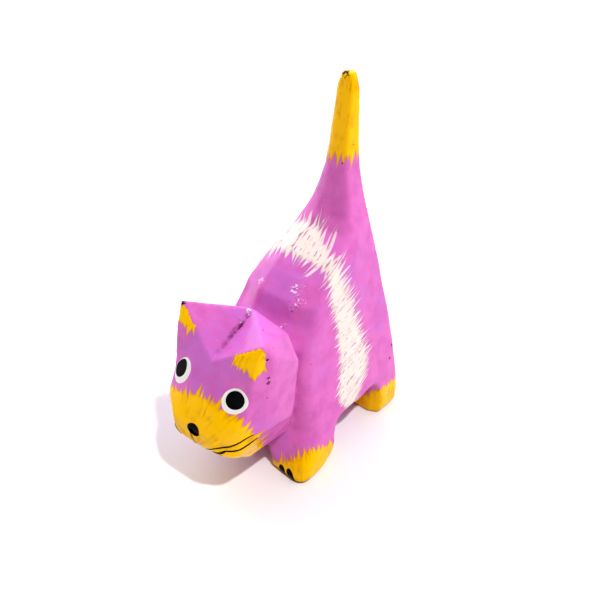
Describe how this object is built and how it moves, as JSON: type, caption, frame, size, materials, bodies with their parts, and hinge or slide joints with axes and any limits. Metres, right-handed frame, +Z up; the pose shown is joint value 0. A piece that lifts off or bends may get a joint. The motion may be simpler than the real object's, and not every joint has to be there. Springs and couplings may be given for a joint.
{
  "type": "carved wooden cat figurine",
  "caption": "Small whittled wooden cat standing on its own paws, raised tail, painted pink with yellow muzzle, ear fronts, paws and tail tip and a white band.",
  "frame": {"origin": "on the floor under the middle of the bounding box, on the cat's middle plane", "axes": "+Z up along the raised tail, -Y the way the cat faces, +X to the cat's left"},
  "size_m": [0.0476, 0.08, 0.12],
  "materials": {
    "painted_wood": "gloss enamel over carved light wood, orchid pink with yellow, white and black painting"
  },
  "bodies": {
    "root": {"cat_figurine": "painted_wood"}
  },
  "joints": []
}
